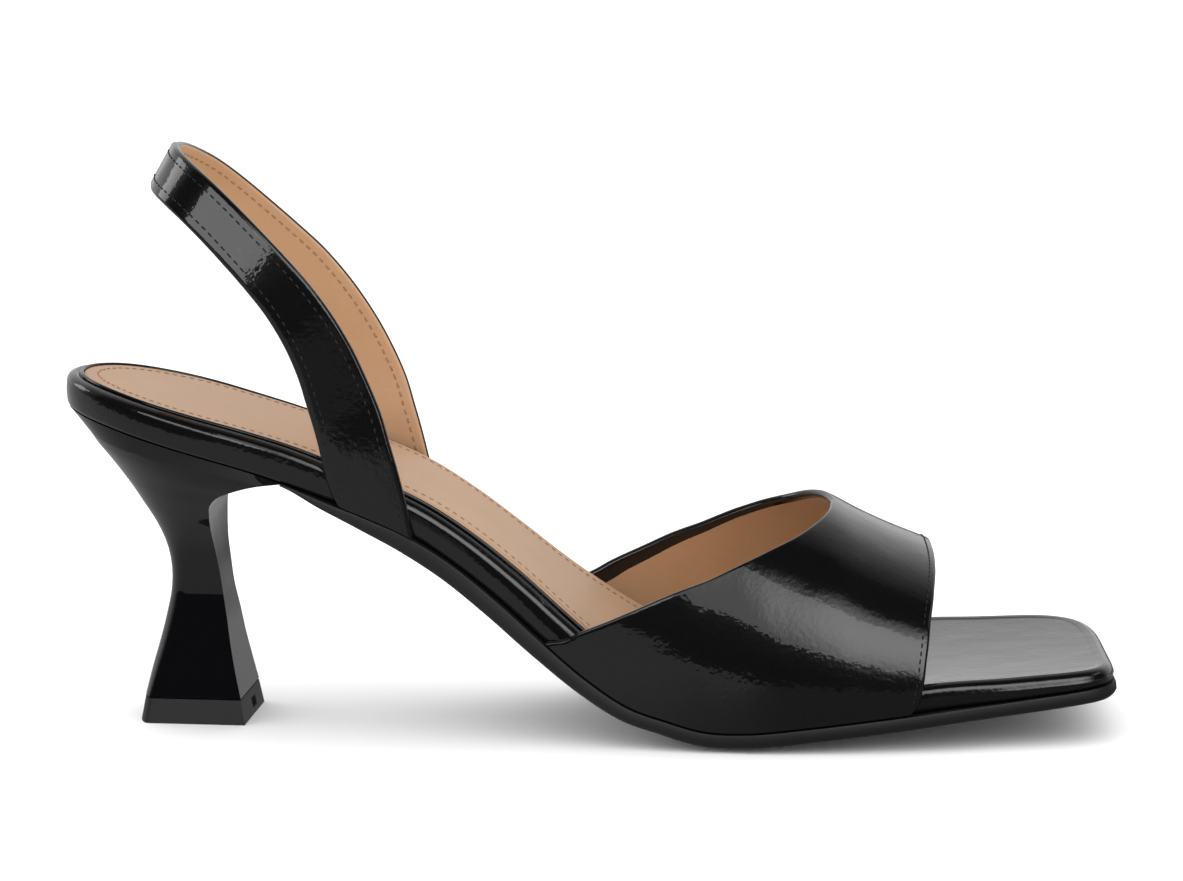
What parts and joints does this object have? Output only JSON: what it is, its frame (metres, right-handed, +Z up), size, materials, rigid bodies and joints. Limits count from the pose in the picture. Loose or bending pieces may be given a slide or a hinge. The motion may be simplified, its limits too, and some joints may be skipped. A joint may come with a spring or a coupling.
{
  "type": "slingback sandal",
  "caption": "Right slingback sandal: square open toe, V-cut vamp over the forefoot, one loop behind the ankle, a flared narrow-waisted heel.",
  "frame": {"origin": "The middle of the heel lift's ground face, which lies on the floor plane together with the flat of the tread.", "axes": "+X runs from the heel to the toe, +Y to the medial side of the foot, +Z up."},
  "size_m": [0.2319, 0.0827, 0.1289],
  "materials": {
    "black_patent_leather": "high gloss patent",
    "tan_lining_leather": "smooth, semi-matte",
    "black_outsole_rubber": "matte, fine pebble",
    "black_heel_lacquer": "gloss lacquer",
    "black_lift_rubber": "matte"
  },
  "bodies": {
    "root": {"outsole": "black_outsole_rubber", "heel": "black_heel_lacquer", "heel_lift": "black_lift_rubber", "platform": "black_patent_leather", "sock_lining": "tan_lining_leather", "vamp": "black_patent_leather", "slingback_strap": "black_patent_leather"}
  },
  "joints": []
}
